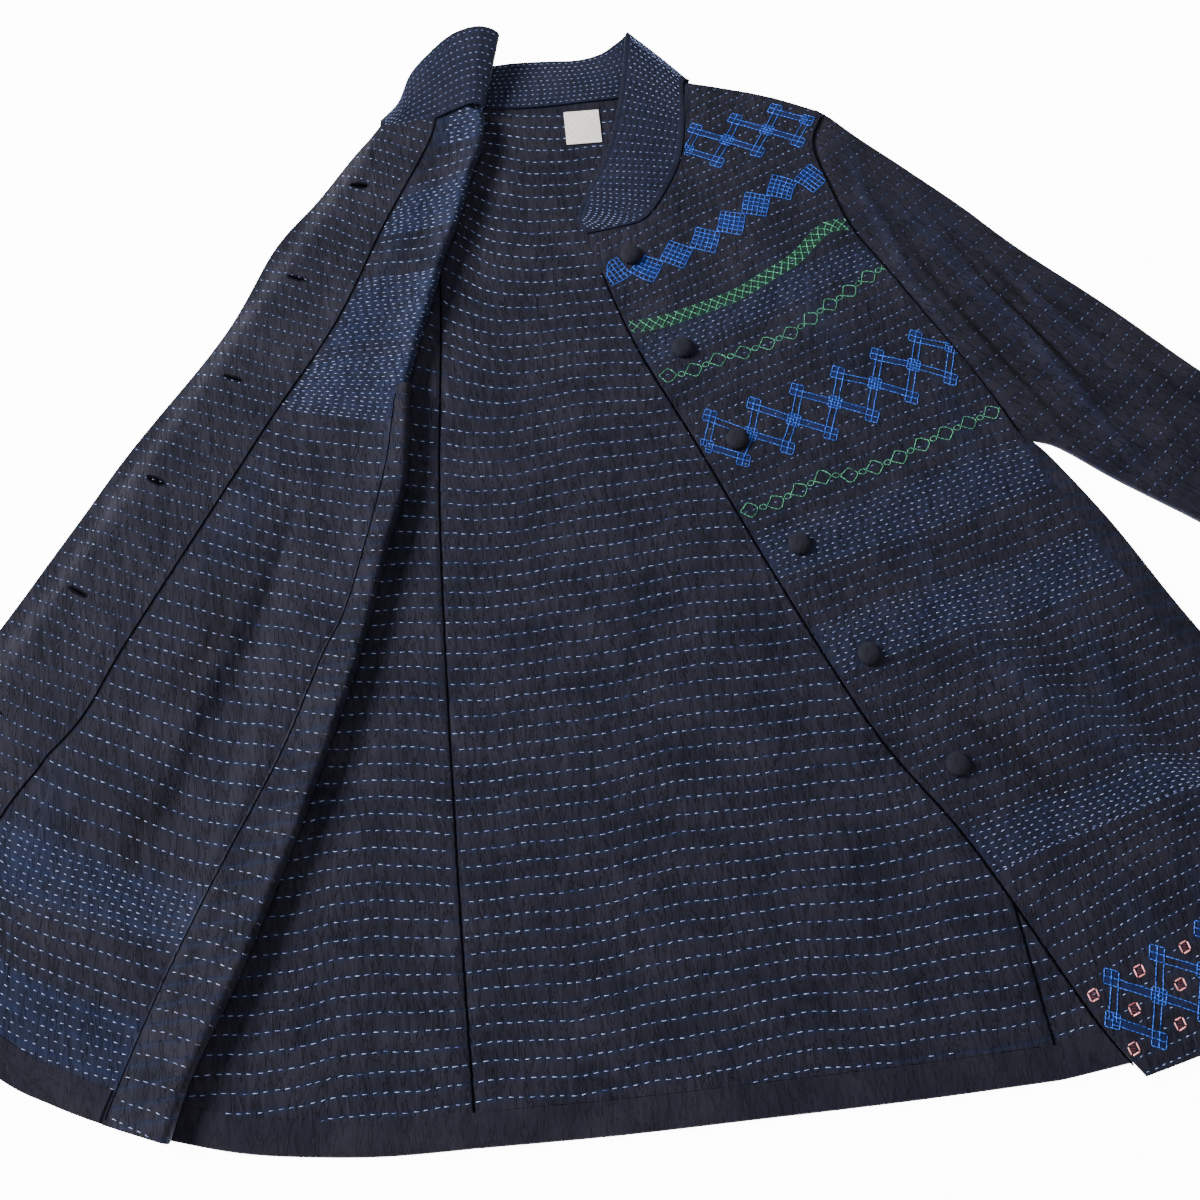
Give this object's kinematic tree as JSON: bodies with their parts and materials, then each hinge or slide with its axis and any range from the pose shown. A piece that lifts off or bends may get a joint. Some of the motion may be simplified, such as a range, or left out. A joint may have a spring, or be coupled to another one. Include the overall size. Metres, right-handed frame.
{
  "type": "embroidered long coat, laid open",
  "caption": "Navy quilted cotton long coat with running-stitch rows and embroidered bands, stand collar and covered buttons, lying open on its back.",
  "frame": {"origin": "The underside of the back panel at the waist, 430 mm above the hem on the centre back, on the surface that the coat lies on.", "axes": "+X is the wearer's left, +Y runs up the centre back to the collar, +Z points away from the surface that the coat lies on."},
  "size_m": [1.2174, 0.9608, 0.0279],
  "materials": {
    "quilted_cloth": "matte quilted cotton with blue running stitches",
    "facing_cloth": "matte cotton",
    "button_cloth": "matte cotton over a dome",
    "label_tape": "woven tape, blank"
  },
  "bodies": {
    "root": {"back_center": "quilted_cloth", "back_side_left": "quilted_cloth", "back_side_right": "quilted_cloth", "front_left": "quilted_cloth", "front_right": "quilted_cloth", "sleeve_left": "quilted_cloth", "sleeve_right": "quilted_cloth", "collar": "quilted_cloth", "facing_right": "facing_cloth", "hem_back": "facing_cloth", "hem_front_right": "facing_cloth", "button_1": "button_cloth", "button_2": "button_cloth", "button_3": "button_cloth", "button_4": "button_cloth", "button_5": "button_cloth", "button_6": "button_cloth", "label": "label_tape"}
  },
  "joints": []
}
